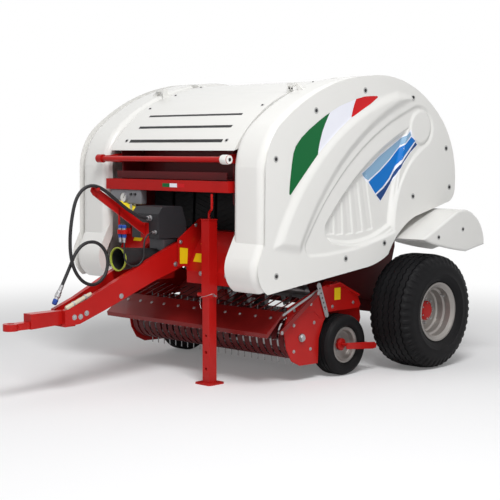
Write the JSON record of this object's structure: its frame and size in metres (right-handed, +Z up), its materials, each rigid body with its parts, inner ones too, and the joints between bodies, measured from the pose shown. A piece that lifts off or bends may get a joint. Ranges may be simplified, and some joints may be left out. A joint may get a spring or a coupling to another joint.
{
  "type": "round baler",
  "caption": "Towed round baler with a tined pickup, deep moulded side covers that lift, a tailgate on two cylinders, a drawbar with a tow eye and a sliding jack.",
  "frame": {"origin": "on the ground under the middle of the machine's bounding box", "axes": "+Z up, +Y towards the rear, -Y towards the tractor, +X towards the machine's left side"},
  "size_m": [2.546, 3.733, 2.2329],
  "materials": {
    "white_shell": "glossy white moulded plastic",
    "white_sheet": "glossy white paint",
    "red_paint": "glossy red paint",
    "dark_red_paint": "satin dark red paint",
    "tyre_rubber": "matt black",
    "rim_paint": "satin silver-grey paint",
    "belt_rubber": "matt black",
    "bare_steel": "bare steel, dull",
    "rod_chrome": "polished",
    "grey_plastic": "satin dark grey",
    "black_plastic": "satin black",
    "cast_metal": "painted casting"
  },
  "bodies": {
    "chassis": {"chassis_rails": "dark_red_paint", "axle": "dark_red_paint", "cross_beam": "red_paint", "drawbar": "red_paint", "drawbar_gussets": "red_paint", "tow_hitch": "red_paint", "jack_tube": "red_paint", "jack_crank": "red_paint", "gearbox": "cast_metal", "gearbox_cover": "grey_plastic", "pto_guard": "black_plastic", "hose_arm": "red_paint", "chamber_walls": "dark_red_paint", "chamber_rollers": "bare_steel", "gate_hinge_tube": "bare_steel", "front_belts": "belt_rubber", "hood": "white_sheet", "front_bar": "red_paint", "cross_member": "red_paint", "net_box": "dark_red_paint", "cover_hinges": "white_sheet", "feeder_plates": "dark_red_paint", "fenders": "white_shell", "fender_tubes": "red_paint", "pickup_pins": "red_paint"},
    "jack_foot": {"jack_leg": "red_paint"},
    "tailgate": {"gate_walls": "red_paint", "gate_skin": "white_sheet", "gate_frame": "red_paint", "gate_rollers": "bare_steel"},
    "cover_left": {"side_cover_left": "white_shell"},
    "cover_right": {"side_cover_right": "white_shell"},
    "barrel_left": {"cylinder_barrel_left": "red_paint"},
    "barrel_right": {"cylinder_barrel_right": "red_paint"},
    "rod_left": {"cylinder_rod_left": "rod_chrome"},
    "rod_right": {"cylinder_rod_right": "rod_chrome"},
    "pickup": {"pickup_plates": "red_paint", "pickup_arms": "red_paint", "pickup_strippers": "dark_red_paint", "windguard": "red_paint", "gauge_arms": "red_paint"},
    "reel": {"pickup_reel": "bare_steel"},
    "feeder": {"feeder_rotor": "bare_steel"},
    "wheel_left": {"tyre_left": "tyre_rubber", "rim_left": "rim_paint", "hub_left": "red_paint"},
    "wheel_right": {"tyre_right": "tyre_rubber", "rim_right": "rim_paint", "hub_right": "red_paint"},
    "gauge_wheel_left": {"gauge_tyre_left": "tyre_rubber", "gauge_rim_left": "rim_paint", "gauge_hub_left": "red_paint"},
    "gauge_wheel_right": {"gauge_tyre_right": "tyre_rubber", "gauge_rim_right": "rim_paint", "gauge_hub_right": "red_paint"}
  },
  "joints": [
    {"name": "wheel_left_spin", "type": "hinge", "parent": "chassis", "child": "wheel_left", "pos_m": [1.075, 1.2445, 0.44], "axis": [1, 0, 0], "continuous": true},
    {"name": "wheel_right_spin", "type": "hinge", "parent": "chassis", "child": "wheel_right", "pos_m": [-1.075, 1.2445, 0.44], "axis": [1, 0, 0], "continuous": true},
    {"name": "jack_slide", "type": "slide", "parent": "chassis", "child": "jack_foot", "axis": [0, 0, 1], "range_m": [0, 0.35]},
    {"name": "gate_lift", "type": "hinge", "parent": "chassis", "child": "tailgate", "pos_m": [0, 0.5895, 2.12], "axis": [1, 0, 0], "range_deg": [0, 65]},
    {"name": "cover_left_lift", "type": "hinge", "parent": "chassis", "child": "cover_left", "pos_m": [0.745, 0.3545, 2.152], "axis": [0, -1, 0], "range_deg": [0, 60]},
    {"name": "cover_right_lift", "type": "hinge", "parent": "chassis", "child": "cover_right", "pos_m": [-0.745, 0.3545, 2.152], "axis": [0, 1, 0], "range_deg": [0, 60]},
    {"name": "barrel_left_swing", "type": "hinge", "parent": "chassis", "child": "barrel_left", "pos_m": [0.661, 0.7945, 0.985], "axis": [1, 0, 0], "range_deg": [-3.25, 0.3]},
    {"name": "barrel_right_swing", "type": "hinge", "parent": "chassis", "child": "barrel_right", "pos_m": [-0.661, 0.7945, 0.985], "axis": [1, 0, 0], "range_deg": [-3.25, 0.3]},
    {"name": "rod_left_slide", "type": "slide", "parent": "barrel_left", "child": "rod_left", "axis": [0, 0.1633, 0.9866], "range_m": [0, 0.5394]},
    {"name": "rod_right_slide", "type": "slide", "parent": "barrel_right", "child": "rod_right", "axis": [0, 0.1633, 0.9866], "range_m": [0, 0.5394]},
    {"name": "pickup_lift", "type": "hinge", "parent": "chassis", "child": "pickup", "pos_m": [0, 0.6045, 0.64], "axis": [-1, 0, 0], "range_deg": [0, 10]},
    {"name": "reel_spin", "type": "hinge", "parent": "pickup", "child": "reel", "pos_m": [0, 0.1045, 0.322], "axis": [1, 0, 0], "continuous": true},
    {"name": "feeder_spin", "type": "hinge", "parent": "chassis", "child": "feeder", "pos_m": [0, 0.5645, 0.6], "axis": [1, 0, 0], "continuous": true},
    {"name": "gauge_wheel_left_spin", "type": "hinge", "parent": "pickup", "child": "gauge_wheel_left", "pos_m": [0.844, 0.5365, 0.228], "axis": [1, 0, 0], "continuous": true},
    {"name": "gauge_wheel_right_spin", "type": "hinge", "parent": "pickup", "child": "gauge_wheel_right", "pos_m": [-0.844, 0.5365, 0.228], "axis": [1, 0, 0], "continuous": true}
  ],
  "couplings": [
    {"joint": "barrel_left_swing", "follows": "gate_lift", "ratio": -0.04539},
    {"joint": "rod_left_slide", "follows": "gate_lift", "m_per_rad": 0.47457},
    {"joint": "barrel_right_swing", "follows": "gate_lift", "ratio": -0.04539},
    {"joint": "rod_right_slide", "follows": "gate_lift", "m_per_rad": 0.47457}
  ]
}
